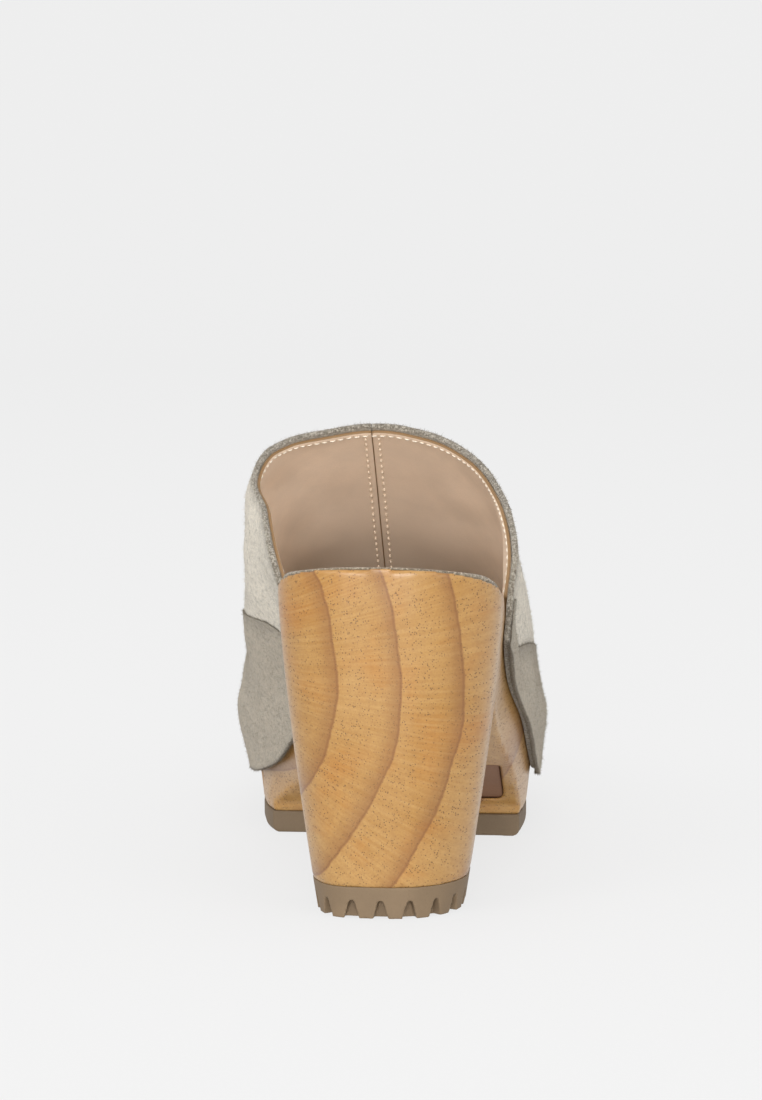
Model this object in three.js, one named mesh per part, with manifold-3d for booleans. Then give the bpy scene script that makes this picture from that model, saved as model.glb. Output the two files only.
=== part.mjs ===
// A high-heeled wooden clog for the right foot: a carved two-part wooden sole that bends at the ball,
// rubber treads, and a closed-toe suede upper with a lining. Millimetres, +Z up, toe towards +Y.
import * as THREE from "three";
import { mergeVertices } from "three/addons/utils/BufferGeometryUtils.js";
import Module from "manifold-3d";

// Driving dimensions.
const SHOE_LENGTH = 236;
const HEEL_HEIGHT = 97; // floor to the rear rim of the seat
const SEAT_WIDTH = 61.8;
const SEAT_ROUND = 28; // how far forward the round back of the seat reaches
const BALL_LATERAL = 34.6; // from the heel's centre plane to the sole's outer edge at the ball
const BALL_MEDIAL = 55;
const PLATFORM_HEIGHT = 29.5; // floor to the footbed at the ball
const TOE_SPRING = 7;
const HEEL_BASE_INSET = 9.6; // how much narrower each side of the heel is at its base
const HEEL_BACK_LEAN = 5.5;
const HEEL_BASE_LENGTH = 33;
const SOLE_THICKNESS = 24; // wood under the arch
const HEEL_TREAD = 8.3;
const FRONT_TREAD = 6.2;
const FOOTBED_CUP = 2.5;
const UPPER_HEIGHT = 75; // throat above the footbed
const SUEDE = 1.7;
const LINING = 1.0;
const OVERLAY = 1.4;
const MARGIN = 12; // suede lapped over the side of the wood
const INSOLE = 1.4;
const FLEX_ANGLE = 16; // opening of the kerf between the two halves of the sole
const KERF = 0.8;
const NOTCH_DEPTH = 4.6;
const NOTCH_WIDTH = 3.6;
const NOTCH_PITCH = 8;
const LEAF_THICKNESS = 2.4;
const LEAF_WIDTH = 54;
const TACK_LENGTH = 7;
const TACK_SHANK = 0.7; // radius
const TACK_HEAD = 1.9; // radius
const TACK_SINK = 0.7; // of the head below the suede's face
const TACKS_PER_SIDE = 5;
const GLUE = 0.25; // clearance between seated pieces
const PLY_GAP = 0.2; // clearance between the layers of the upper
const SEAM_GAP = 0.4;

const BALL = 0.64 * SHOE_LENGTH; // where the sole bends
const TREAD_START = 0.54 * SHOE_LENGTH;
const TREAD_END = 0.9 * SHOE_LENGTH;
const UPPER_BACK = 0.2 * SHOE_LENGTH;
const THROAT = 0.445 * SHOE_LENGTH;
const TOE_X = -14;
const SIDES = [[-1, "medial"], [1, "lateral"]];
const UNDER = FRONT_TREAD + GLUE;
const SILL_TOP = UNDER + 4.4;
const HINGE_Z = SILL_TOP + LEAF_THICKNESS / 2;

const wasm = await Module();
wasm.setup();

// A smooth curve through [at, value] points, level at its turning points.
function curve(points) {
  const slopes = points.map((p, i) => {
    if (i === 0 || i === points.length - 1) {
      const [a, b] = i === 0 ? [points[0], points[1]] : [points[i - 1], points[i]];
      return (b[1] - a[1]) / (b[0] - a[0]);
    }
    const before = (p[1] - points[i - 1][1]) / (p[0] - points[i - 1][0]);
    const after = (points[i + 1][1] - p[1]) / (points[i + 1][0] - p[0]);
    return before * after <= 0 ? 0 : (2 * before * after) / (before + after);
  });
  return (at) => {
    const x = THREE.MathUtils.clamp(at, points[0][0], points[points.length - 1][0]);
    let i = 0;
    while (i < points.length - 2 && x > points[i + 1][0]) i++;
    const span = points[i + 1][0] - points[i][0];
    const t = (x - points[i][0]) / span;
    const a = points[i][1];
    const b = points[i + 1][1];
    const t2 = t * t;
    const t3 = t2 * t;
    return (2 * t3 - 3 * t2 + 1) * a + (t3 - 2 * t2 + t) * span * slopes[i]
      + (3 * t2 - 2 * t3) * b + (t3 - t2) * span * slopes[i + 1];
  };
}

// Places along the shoe are shares of its length.
const along = (points) => curve(points.map(([share, value]) => [share * SHOE_LENGTH, value]));
const SEAT_HALF = SEAT_WIDTH / 2;
const RISE = HEEL_HEIGHT - PLATFORM_HEIGHT;

// The top edge of the wood: steep through the arch, level at the ball, then the toe spring.
const footbed = along([
  [0, HEEL_HEIGHT], [0.1, HEEL_HEIGHT - 0.125 * RISE], [0.2, HEEL_HEIGHT - 0.265 * RISE],
  [0.4, HEEL_HEIGHT - 0.655 * RISE], [0.53, HEEL_HEIGHT - 0.89 * RISE], [0.64, PLATFORM_HEIGHT + 0.6],
  [0.74, PLATFORM_HEIGHT], [0.86, PLATFORM_HEIGHT + 0.3 * TOE_SPRING], [1, PLATFORM_HEIGHT + TOE_SPRING],
]);
const medialSide = along([
  [0.1, SEAT_HALF], [0.19, SEAT_HALF], [0.28, SEAT_HALF - 0.4], [0.38, SEAT_HALF + 0.12 * (BALL_MEDIAL - SEAT_HALF)],
  [0.49, SEAT_HALF + 0.45 * (BALL_MEDIAL - SEAT_HALF)], [0.59, SEAT_HALF + 0.78 * (BALL_MEDIAL - SEAT_HALF)],
  [0.68, BALL_MEDIAL], [1, BALL_MEDIAL],
]);
const lateralSide = along([
  [0.1, SEAT_HALF], [0.19, SEAT_HALF], [0.32, SEAT_HALF + 0.3], [0.45, SEAT_HALF + 0.6 * (BALL_LATERAL - SEAT_HALF)],
  [0.62, BALL_LATERAL], [1, BALL_LATERAL],
]);
const TOE_START = { medial: 0.68 * SHOE_LENGTH, lateral: 0.62 * SHOE_LENGTH };

// Half of the sole's outline, seen from above: x of its edge at y, on side 1 (lateral) or -1 (medial).
function edgeAt(side, y) {
  if (y < SEAT_ROUND) {
    const power = side > 0 ? 2.2 : 2.9;
    return side * SEAT_HALF * (1 - (1 - Math.max(y, 0) / SEAT_ROUND) ** power) ** (1 / power);
  }
  const start = side > 0 ? TOE_START.lateral : TOE_START.medial;
  const full = side > 0 ? lateralSide(y) : -medialSide(y);
  if (y <= start) return full;
  const share = Math.min((y - start) / (SHOE_LENGTH - start), 1);
  const power = side > 0 ? 2.0 : 2.5;
  return TOE_X + (full - TOE_X) * (1 - share ** power) ** (1 / 2.1);
}

// How far the side of the wood has drawn in at height z.
function inset(side, y, z) {
  const heel = HEEL_BASE_INSET * Math.max((HEEL_HEIGHT - 9 - z) / (HEEL_HEIGHT - 17), 0) ** 1.3;
  const depth = Math.max(footbed(y) - z, 0) / (PLATFORM_HEIGHT - UNDER);
  const front = (side > 0 ? 2.6 : 5.6) * Math.min(depth, 1.6);
  return THREE.MathUtils.lerp(heel, front, THREE.MathUtils.smoothstep(y, 0.2 * SHOE_LENGTH, 0.45 * SHOE_LENGTH));
}

function solidFrom(positions, triangles) {
  return new wasm.Manifold(new wasm.Mesh({
    numProp: 3,
    vertProperties: new Float32Array(positions),
    triVerts: new Uint32Array(triangles),
  }));
}

function solidOf(geometry) {
  const bare = geometry.clone();
  bare.deleteAttribute("normal");
  bare.deleteAttribute("uv");
  const merged = mergeVertices(bare, 1e-4);
  return solidFrom(merged.attributes.position.array, merged.index.array);
}

function geometryOf(solid) {
  const mesh = solid.getMesh();
  const geometry = new THREE.BufferGeometry();
  geometry.setAttribute("position", new THREE.BufferAttribute(mesh.vertProperties, 3));
  geometry.setIndex(new THREE.BufferAttribute(mesh.triVerts, 1));
  geometry.computeVertexNormals();
  return geometry;
}

// A closed solid between rings of the same length, from the lowest ring to the highest.
function ringLoft(rings) {
  const count = rings[0].length;
  const positions = rings.flat().flatMap((p) => [p.x, p.y, p.z]);
  const triangles = [];
  for (let r = 0; r < rings.length - 1; r++)
    for (let i = 0; i < count; i++) {
      const a = r * count + i;
      const b = r * count + ((i + 1) % count);
      triangles.push(a, b, b + count, a, b + count, a + count);
    }
  const flat = (ring) => ring.map((p) => new THREE.Vector2(p.x, p.y));
  const top = (rings.length - 1) * count;
  for (const [a, b, c] of THREE.ShapeUtils.triangulateShape(flat(rings[0]), [])) triangles.push(a, c, b);
  for (const [a, b, c] of THREE.ShapeUtils.triangulateShape(flat(rings[rings.length - 1]), []))
    triangles.push(top + a, top + b, top + c);
  return solidFrom(positions, triangles);
}

// The outline as points that run once round the shoe, counter-clockwise from the toe.
function outline(inward = 0, from = 0, to = SHOE_LENGTH) {
  const stations = [];
  const backSteps = 9;
  for (let i = 0; i < backSteps; i++) stations.push(SEAT_ROUND * (1 - Math.cos((i / backSteps) * Math.PI / 2)));
  const middle = Math.round((TOE_START.lateral - SEAT_ROUND) / 7);
  for (let i = 0; i < middle; i++)
    stations.push(THREE.MathUtils.lerp(SEAT_ROUND, TOE_START.lateral, i / middle));
  const toeSteps = 13;
  for (let i = 0; i <= toeSteps; i++)
    stations.push(THREE.MathUtils.lerp(TOE_START.lateral, SHOE_LENGTH, Math.sin((i / toeSteps) * Math.PI / 2)));
  const kept = stations.filter((y) => y > from + 0.5 && y < to - 0.5);
  const medial = [to, ...kept.slice().reverse(), from].map((y) => ({ side: -1, y }));
  const lateral = [from, ...kept, to].map((y) => ({ side: 1, y }));
  if (from === 0) lateral.shift();
  if (to === SHOE_LENGTH) medial.shift();
  return [...medial, ...lateral].map(({ side, y }) => ({ side, y, inward }));
}

// One outline point at height z, drawn in by the taper of the wood and by the piece's own margin.
function outlinePoint({ side, y, inward }, z) {
  const step = 0.4;
  const low = Math.max(y - step, 0);
  const high = Math.min(y + step, SHOE_LENGTH);
  const slope = new THREE.Vector2(edgeAt(side, high) - edgeAt(side, low), high - low).normalize();
  const out = new THREE.Vector2(slope.y * side, -slope.x * side);
  if (y <= 0) out.set(0, -1);
  if (y >= SHOE_LENGTH) out.set(0, 1);
  const drawn = inset(side, y, z) + inward;
  const lean = y < SEAT_ROUND ? THREE.MathUtils.lerp(1, HEEL_BACK_LEAN / HEEL_BASE_INSET, out.y * out.y) : 1;
  const x = edgeAt(side, y) - out.x * drawn;
  return new THREE.Vector3(x, y - out.y * drawn * lean, z);
}

// The whole sole as a blank with the right outline at every height.
function soleBlank(grown = 0) {
  const levels = [UNDER - 2, 10, 20, 30, 42, 56, 70, 82, 90, HEEL_HEIGHT + 6];
  const fitted = levels.map((z, i) => (i < 2 ? z : UNDER + (z / 103) * (HEEL_HEIGHT + 6 - UNDER)));
  return ringLoft(fitted.map((z) => outline(-grown).map((spot) => outlinePoint(spot, z))));
}

// Everything above the footbed, which is dished across.
function aboveFootbed(lift = 0) {
  const across = 8;
  const reach = 75;
  const stations = 40;
  const sheet = (height) => {
    const rows = [];
    for (let i = 0; i <= stations; i++) {
      const y = THREE.MathUtils.lerp(-6, SHOE_LENGTH + 6, i / stations);
      const half = Math.max((edgeAt(1, y) - edgeAt(-1, Math.min(y, SHOE_LENGTH - 8))) / 2, 12);
      const centre = (edgeAt(1, Math.min(y, SHOE_LENGTH - 8)) + edgeAt(-1, Math.min(y, SHOE_LENGTH - 8))) / 2;
      for (let j = 0; j <= across; j++) {
        const x = THREE.MathUtils.lerp(-reach, reach, j / across);
        const share = Math.min(Math.abs(x - centre) / half, 1);
        const cup = FOOTBED_CUP * (1 - share * share);
        rows.push(new THREE.Vector3(x, y, height ?? footbed(y) - cup + lift));
      }
    }
    return rows;
  };
  return sheetSolid(sheet(), sheet(HEEL_HEIGHT + 60), stations, across);
}

// A closed solid between a lower and an upper sheet of (rows + 1) by (columns + 1) points.
function sheetSolid(lower, upper, rows, columns) {
  const positions = [...lower, ...upper].flatMap((p) => [p.x, p.y, p.z]);
  const wide = columns + 1;
  const high = lower.length;
  const triangles = [];
  const quad = (a, b, c, d) => triangles.push(a, b, c, a, c, d);
  for (let i = 0; i < rows; i++)
    for (let j = 0; j < columns; j++) {
      const a = i * wide + j;
      quad(a, a + wide, a + wide + 1, a + 1);
      quad(high + a, high + a + 1, high + a + wide + 1, high + a + wide);
    }
  for (let j = 0; j < columns; j++) {
    quad(j, j + 1, high + j + 1, high + j);
    const last = rows * wide + j;
    quad(last + 1, last, high + last, high + last + 1);
  }
  for (let i = 0; i < rows; i++) {
    const left = i * wide;
    quad(left + wide, left, high + left, high + left + wide);
    const right = left + columns;
    quad(right, right + wide, high + right + wide, high + right);
  }
  return solidFrom(positions, triangles);
}

// A side profile in (y, z), cut right across the shoe from x = -half to x = half.
function acrossProfile(points, half = 80) {
  const shape = new THREE.Shape(points.map(([y, z]) => new THREE.Vector2(y, z)));
  const geometry = new THREE.ExtrudeGeometry(shape, { depth: 2 * half, bevelEnabled: false });
  geometry.rotateY(Math.PI / 2).rotateX(Math.PI / 2);
  geometry.translate(-half, 0, 0);
  return solidOf(geometry);
}


// The underside of the wood in the arch, then the sill behind the front tread.
const SILL_EDGE = UNDER + 3;
const undersideEnd = 0.5 * SHOE_LENGTH;
const underside = (y) => {
  const arch = footbed(Math.min(y, undersideEnd)) - SOLE_THICKNESS;
  if (y <= undersideEnd) return arch;
  return THREE.MathUtils.lerp(arch, SILL_EDGE, (y - undersideEnd) / (TREAD_START - undersideEnd));
};
const BREAST = HEEL_BACK_LEAN + HEEL_BASE_LENGTH;
const BREAST_LEAN = 5;
const HEEL_SEAT = HEEL_TREAD + GLUE;
const TOE_LIFT = 9;

// All that is carved away below: under the heel, the arch behind the front tread, and under the toe.
function belowSole() {
  const points = [[-20, -20], [-20, HEEL_SEAT], [BREAST, HEEL_SEAT]];
  const cornerY = BREAST + BREAST_LEAN;
  const cornerZ = underside(cornerY);
  const fillet = 9;
  points.push([cornerY - 1.2, cornerZ - fillet]);
  points.push([cornerY + 0.25 * fillet, cornerZ - 0.42 * fillet]);
  points.push([cornerY + fillet, underside(cornerY + fillet)]);
  for (let y = cornerY + fillet + 8; y < undersideEnd - 3; y += 8) points.push([y, underside(y)]);
  points.push([undersideEnd, underside(undersideEnd)], [TREAD_START, SILL_EDGE], [TREAD_START, UNDER]);
  points.push([TREAD_END, UNDER]);
  const toe = SHOE_LENGTH - TREAD_END;
  for (const share of [0.25, 0.5, 0.75, 1]) points.push([TREAD_END + share * toe, UNDER + TOE_LIFT * share ** 1.6]);
  points.push([SHOE_LENGTH + 20, UNDER + TOE_LIFT * 2], [SHOE_LENGTH + 20, -20]);
  return acrossProfile(points);
}

// The lower face of the flexible leaf: it lies in its pocket, then runs level through the ball.
const LEAF_BACK = 0.42 * SHOE_LENGTH;
const LEAF_FRONT = 0.73 * SHOE_LENGTH;
const leafFace = (y) => Math.max(underside(Math.min(y, TREAD_START)) + 1.2, SILL_TOP);
const LEAF_X = -1;

function leafProfile(below, above, grow) {
  const stations = [LEAF_BACK - grow];
  for (let y = Math.ceil(LEAF_BACK) + 2; y < TREAD_START; y += 3) stations.push(y);
  stations.push(LEAF_FRONT + grow);
  const low = stations.map((y) => [y, below(y)]);
  const high = stations.slice().reverse().map((y) => [y, above(y)]);
  return acrossProfile([...low, ...high], LEAF_WIDTH / 2 + grow).translate(LEAF_X, 0, 0);
}

const flexLeaf = () => leafProfile(leafFace, (y) => leafFace(y) + LEAF_THICKNESS, 0);
const pocketEnd = TREAD_START - 3.5;

function leafPocket() {
  const slot = leafProfile((y) => leafFace(y) - GLUE, (y) => leafFace(y) + LEAF_THICKNESS + GLUE, GLUE);
  const mouth = acrossProfile([
    [LEAF_BACK - GLUE, underside(LEAF_BACK) - 12], [pocketEnd - 3, underside(pocketEnd) - 12],
    [pocketEnd, leafFace(pocketEnd) + 0.5], [LEAF_BACK - GLUE, leafFace(LEAF_BACK) + 1],
  ], LEAF_WIDTH / 2 + GLUE).translate(LEAF_X, 0, 0);
  return slot.add(mouth);
}

// The kerf stands open at the top by the angle the sole bends through.
function kerf() {
  const low = HINGE_Z - 20;
  const high = HEEL_HEIGHT;
  const lean = Math.tan(THREE.MathUtils.degToRad(FLEX_ANGLE));
  return acrossProfile([
    [BALL - KERF / 2, low], [BALL + KERF / 2, low], [BALL + KERF / 2, HINGE_Z],
    [BALL + KERF / 2 + lean * (high - HINGE_Z), high], [BALL - KERF / 2, high],
  ]);
}

const behind = (y) => acrossProfile([[-30, -20], [y, -20], [y, 200], [-30, 200]]);

function carvedSole() {
  return soleBlank().subtract(aboveFootbed()).subtract(belowSole()).subtract(leafPocket()).subtract(kerf());
}

// V-notches cut up through the rim of the heel rubber, one every pitch round its outline.
function heelTread() {
  const ring = outline(0, 0, BREAST - 0.5);
  const level = (z) => ring.map((spot) => outlinePoint(spot, z));
  let rubber = ringLoft([level(0), level(HEEL_TREAD)]);
  const rim = new THREE.CatmullRomCurve3(level(0).slice(1, -1));
  const cuts = Math.floor(rim.getLength() / NOTCH_PITCH);
  for (let i = 0; i <= cuts; i++) {
    const share = 0.5 + ((i - cuts / 2) * NOTCH_PITCH) / rim.getLength();
    if (share < 0 || share > 1) continue;
    rubber = rubber.subtract(notchAt(rim.getPointAt(share), rim.getTangentAt(share)));
  }
  return rubber;
}

function notchAt(point, tangent) {
  const shape = new THREE.Shape([
    new THREE.Vector2(-NOTCH_WIDTH / 2, -1), new THREE.Vector2(NOTCH_WIDTH / 2, -1),
    new THREE.Vector2(NOTCH_WIDTH / 5, NOTCH_DEPTH), new THREE.Vector2(-NOTCH_WIDTH / 5, NOTCH_DEPTH),
  ]);
  const depth = 3;
  const wedge = new THREE.ExtrudeGeometry(shape, { depth: 2 * depth, bevelEnabled: false });
  wedge.translate(0, 0, -depth).rotateX(Math.PI / 2).rotateZ(Math.atan2(tangent.y, tangent.x));
  wedge.translate(point.x, point.y, 0);
  return solidOf(wedge);
}

// A rubber tread under the front of the sole, between two places along the shoe.
function tread(from, to) {
  const level = (z) => outline(z > 0 ? 0 : 1.2, from, to).map((spot) => {
    const at = outlinePoint(spot, UNDER);
    return outlinePoint(spot, z).setX(at.x).setY(at.y);
  });
  return ringLoft([level(0), level(2), level(FRONT_TREAD)]);
}

// The thin suede cover on the footbed, cut in where the lining comes down beside it.
function insoleCover() {
  const inward = (y) => THREE.MathUtils.lerp(0.5, 3.4, THREE.MathUtils.smoothstep(y, UPPER_BACK - 8, UPPER_BACK));
  const ring = outline(0, 0, SHOE_LENGTH);
  const level = (z) => ring.map((spot) => {
    const at = outlinePoint({ ...spot, inward: inward(spot.y) }, HEEL_HEIGHT + 5);
    return at.setZ(z);
  });
  const block = ringLoft([level(0), level(HEEL_HEIGHT + 20)]);
  return block.subtract(aboveFootbed(GLUE + INSOLE)).intersect(aboveFootbed(GLUE));
}

// The upper. Its apex line runs from the throat down to the toe.
const apexHeight = along([
  [0.15, PLATFORM_HEIGHT + 1.62 * UPPER_HEIGHT], [0.32, PLATFORM_HEIGHT + 1.47 * UPPER_HEIGHT],
  [0.445, PLATFORM_HEIGHT + 1.3 * UPPER_HEIGHT], [0.55, PLATFORM_HEIGHT + 1.08 * UPPER_HEIGHT],
  [0.66, PLATFORM_HEIGHT + 0.8 * UPPER_HEIGHT], [0.78, PLATFORM_HEIGHT + 0.52 * UPPER_HEIGHT],
  [0.9, PLATFORM_HEIGHT + 0.33 * UPPER_HEIGHT], [0.97, PLATFORM_HEIGHT + 0.24 * UPPER_HEIGHT],
  [1, PLATFORM_HEIGHT + TOE_SPRING + 4],
]);
const apexX = along([[0.2, -8], [0.34, -10], [0.445, -12], [0.66, -13], [1, TOE_X]]);
const bulge = {
  1: along([[0.2, 1], [0.3, 3], [0.45, 4], [0.6, 2.5], [0.75, 1.5], [1, 0.8]]),
  "-1": along([[0.2, 3], [0.27, 9], [0.36, 15.5], [0.45, 13.5], [0.58, 5.5], [0.68, 2.5], [0.8, 1.5], [1, 0.8]]),
};
// How high the shoulder of the arch sits: full at the throat, rounder over the toes.
const shoulderRise = {
  1: along([[0.2, 0.8], [0.45, 0.8], [0.7, 0.8], [1, 0.8]]),
  "-1": along([[0.2, 0.83], [0.45, 0.83], [0.7, 0.81], [1, 0.8]]),
};
const lap = {
  1: along([[0.2, 0.75 * MARGIN], [0.45, 0.75 * MARGIN], [0.64, 1.2 * MARGIN], [1, 1.2 * MARGIN]]),
  "-1": along([[0.2, 0.8 * MARGIN], [0.42, 1.35 * MARGIN], [0.64, 1.2 * MARGIN], [1, 1.2 * MARGIN]]),
};
// How far back each line of the upper reaches, from its lower edge (0) to the throat (1).
const topline = curve([
  [-1, UPPER_BACK + 1], [0, UPPER_BACK], [0.15, UPPER_BACK + 3], [0.32, UPPER_BACK + 0.25 * (THROAT - UPPER_BACK)],
  [0.5, UPPER_BACK + 0.58 * (THROAT - UPPER_BACK)], [0.7, UPPER_BACK + 0.86 * (THROAT - UPPER_BACK)],
  [0.86, UPPER_BACK + 0.98 * (THROAT - UPPER_BACK)], [1, THROAT],
]);

const archCache = new Map();

// The arched section of the suede's outer face at y, from the medial to the lateral edge of the wood.
function archAt(y) {
  const key = y.toFixed(4);
  if (archCache.has(key)) return archCache.get(key);
  const out = GLUE + SUEDE;
  const low = footbed(y);
  const high = apexHeight(y);
  const toe = Math.max((y - 0.8 * SHOE_LENGTH) / (0.2 * SHOE_LENGTH), 0) ** 3;
  const apex = new THREE.Vector3(apexX(y), y + out * toe, high);
  const half = (side) => {
    const foot = outlinePoint({ side, y, inward: -out }, low);
    const flare = outlinePoint({ side, y, inward: -out - bulge[side](y) }, low);
    const at = (toApex, rise) => flare.clone().lerp(apex, toApex).setZ(THREE.MathUtils.lerp(low, high, rise));
    return [foot, at(0, 0.27), at(0.1, 0.56), at(0.34, shoulderRise[side](y)), at(0.66, 0.955)];
  };
  const arch = new THREE.CatmullRomCurve3([...half(-1), apex, ...half(1).reverse()], false, "centripetal");
  archCache.set(key, arch);
  return arch;
}

// A point on the suede's outer face: height runs from -1 at the lower edge, 0 at the footbed, to 1 at the apex.
function facePoint(side, y, height) {
  if (height < 0) {
    const z = footbed(y) + height * lap[side](y);
    return outlinePoint({ side, y, inward: -GLUE - SUEDE }, z);
  }
  return archAt(y).getPoint(side < 0 ? 0.5 * height : 1 - 0.5 * height);
}

// The same point at a depth below the outer face, kept on its own side of the centre seam.
function upperPoint(side, y, height, depth) {
  const step = 0.02;
  const before = Math.max(y - 0.6, 0);
  const after = Math.min(y + 0.6, SHOE_LENGTH);
  const forward = facePoint(side, after, height).sub(facePoint(side, before, height));
  const upward = facePoint(side, y, Math.min(height + step, 1)).sub(facePoint(side, y, Math.max(height - step, -1)));
  const normal = forward.cross(upward).normalize().multiplyScalar(side);
  const point = facePoint(side, y, height).addScaledVector(normal, -depth);
  const seam = side * apexX(point.y) + SEAM_GAP / 2;
  if (height === 1 || y === SHOE_LENGTH || side * point.x < seam) point.x = side * seam;
  return point;
}

const HEIGHTS = [-1, -0.5, 0, 0.05, 0.12, 0.2, 0.28, 0.37, 0.46, 0.55, 0.64, 0.73, 0.82, 0.91, 1];
const STATIONS = 21;

// A shell of one half of the upper between two depths; its back edge follows the topline.
function upperShell({ side, outer, inner, heights }) {
  const sheet = (depth) => {
    const points = [];
    for (let i = 0; i <= STATIONS; i++)
      for (const height of heights) {
        const y = THREE.MathUtils.lerp(topline(height), SHOE_LENGTH, 1 - (1 - i / STATIONS) ** 1.8);
        points.push(upperPoint(side, y, height, depth));
      }
    return points;
  };
  const sheets = side < 0 ? [sheet(inner), sheet(outer)] : [sheet(outer), sheet(inner)];
  return sheetSolid(...sheets, STATIONS, heights.length - 1);
}

const vamp = (side) => upperShell({ side, outer: 0, inner: SUEDE, heights: [-0.88, ...HEIGHTS.slice(1)] });
const lining = (side) => upperShell({
  side, outer: SUEDE + PLY_GAP, inner: SUEDE + PLY_GAP + LINING, heights: HEIGHTS.slice(3),
});

// The darker lower panel, cut along its own line in the side view: down behind a square tab, then forward.
const panelTop = {
  1: along([[0.225, 82], [0.25, 74], [0.3, 66], [0.45, 62], [0.6, 55], [0.8, 46], [1, 46]]),
  "-1": along([[0.225, 78], [0.25, 69], [0.3, 67], [0.36, 71], [0.46, 71], [0.6, 60], [0.8, 46], [1, 46]]),
};
function overlay(side) {
  const shell = upperShell({ side, outer: -OVERLAY - PLY_GAP, inner: -PLY_GAP, heights: HEIGHTS.slice(0, 10) });
  const line = [];
  for (let share = 0.19; share <= 1.05; share += 0.03)
    line.push([share * SHOE_LENGTH, panelTop[side](share * SHOE_LENGTH)]);
  return shell.intersect(acrossProfile([[0, -10], [SHOE_LENGTH + 20, -10], ...line.reverse(), [0, line[0][1]]]));
}

const roomForWood = soleBlank(GLUE).subtract(aboveFootbed(GLUE));

// The tacks that hold the vamp's lap to the side of the wood, hidden under the lower panel.
function tackPlaces() {
  const first = UPPER_BACK + 9;
  const last = 0.93 * SHOE_LENGTH;
  const places = [];
  for (const [side, word] of SIDES)
    for (let i = 0; i < TACKS_PER_SIDE; i++) {
      const y = THREE.MathUtils.lerp(first, last, i / (TACKS_PER_SIDE - 1));
      const height = -0.42;
      const head = upperPoint(side, y, height, TACK_SINK);
      const inward = upperPoint(side, y, height, TACK_SINK + 1).sub(head).setZ(0).normalize();
      places.push({ name: `tack_${word}_${i + 1}`, head, inward });
    }
  return places;
}

// A tack, or with grown its hole: a flat head and a pointed shank turned about its own axis.
function tack({ head, inward }, grown = 0) {
  const profile = [
    [0, -grown - (grown && TACK_SINK + 1)], [TACK_HEAD + grown, -grown - (grown && TACK_SINK + 1)],
    [TACK_HEAD + grown, 0.5 + grown], [TACK_SHANK + grown, 0.7 + grown],
    [TACK_SHANK + grown, TACK_LENGTH - 2], [0, TACK_LENGTH + grown],
  ].map(([r, at]) => new THREE.Vector2(r, at));
  const turned = new THREE.LatheGeometry(profile, 8);
  const aim = new THREE.Quaternion().setFromUnitVectors(new THREE.Vector3(0, 1, 0), inward);
  turned.applyQuaternion(aim).translate(head.x, head.y, head.z);
  return solidOf(turned);
}

const tacks = tackPlaces();
const tackHoles = tacks.map((place) => tack(place, GLUE)).reduce((all, hole) => all.add(hole));
const group = new THREE.Group();

function addPiece(name, solid, color, roughness, metalness = 0) {
  const mesh = new THREE.Mesh(geometryOf(solid), new THREE.MeshStandardMaterial({ color, roughness, metalness }));
  mesh.name = name;
  group.add(mesh);
}

const WOOD = 0xcc9f5f;
const RUBBER = 0x927a63;
const VAMP_SUEDE = 0xcac4ba;
const PANEL_SUEDE = 0xa29989;
const LINING_LEATHER = 0xc3a992;

const sole = carvedSole().subtract(tackHoles);
addPiece("wood_rear", sole.intersect(behind(BALL)), WOOD, 0.45);
addPiece("wood_front", sole.subtract(behind(BALL)), WOOD, 0.45);
addPiece("heel_tread", heelTread(), RUBBER, 0.8);
addPiece("ball_tread", tread(TREAD_START, BALL - 1.2), RUBBER, 0.8);
addPiece("front_tread", tread(BALL + 1.2, TREAD_END), RUBBER, 0.8);
addPiece("flex_leaf", flexLeaf(), 0x805f48, 0.7);
addPiece("insole_cover", insoleCover(), VAMP_SUEDE, 0.9);
for (const [side, word] of SIDES) {
  addPiece(`vamp_${word}`, vamp(side).subtract(roomForWood).subtract(tackHoles), VAMP_SUEDE, 0.95);
  addPiece(`lining_${word}`, lining(side), LINING_LEATHER, 0.7);
  addPiece(`overlay_${word}`, overlay(side), PANEL_SUEDE, 0.95);
}
for (const place of tacks) addPiece(place.name, tack(place), 0x9a9a98, 0.35, 1);

// The origin is the middle of the whole shoe's box, on the floor.
const box = new THREE.Box3().setFromObject(group);
const middle = box.getCenter(new THREE.Vector3());
group.position.set(-middle.x, -middle.y, -box.min.z);

export default group;
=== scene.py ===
import math

import bpy
import bmesh
import numpy as np
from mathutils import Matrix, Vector, noise


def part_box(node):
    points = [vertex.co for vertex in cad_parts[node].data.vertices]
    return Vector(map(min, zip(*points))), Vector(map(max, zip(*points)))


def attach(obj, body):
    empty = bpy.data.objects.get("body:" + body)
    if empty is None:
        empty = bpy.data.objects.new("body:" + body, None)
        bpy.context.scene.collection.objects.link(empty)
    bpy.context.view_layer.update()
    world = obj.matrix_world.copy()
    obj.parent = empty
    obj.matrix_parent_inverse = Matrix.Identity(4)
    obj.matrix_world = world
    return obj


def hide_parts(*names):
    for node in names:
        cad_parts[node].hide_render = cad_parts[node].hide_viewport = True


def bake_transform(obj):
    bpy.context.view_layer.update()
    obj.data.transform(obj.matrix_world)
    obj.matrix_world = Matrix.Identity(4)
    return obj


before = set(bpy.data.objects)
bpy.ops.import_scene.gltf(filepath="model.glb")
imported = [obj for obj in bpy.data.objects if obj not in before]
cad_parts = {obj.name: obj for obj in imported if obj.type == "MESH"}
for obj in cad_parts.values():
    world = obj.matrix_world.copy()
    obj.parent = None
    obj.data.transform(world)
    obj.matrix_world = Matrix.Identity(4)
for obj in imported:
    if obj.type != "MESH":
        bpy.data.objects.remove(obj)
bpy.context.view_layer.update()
dice = np.random.default_rng(11)
mm = 0.001

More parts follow.
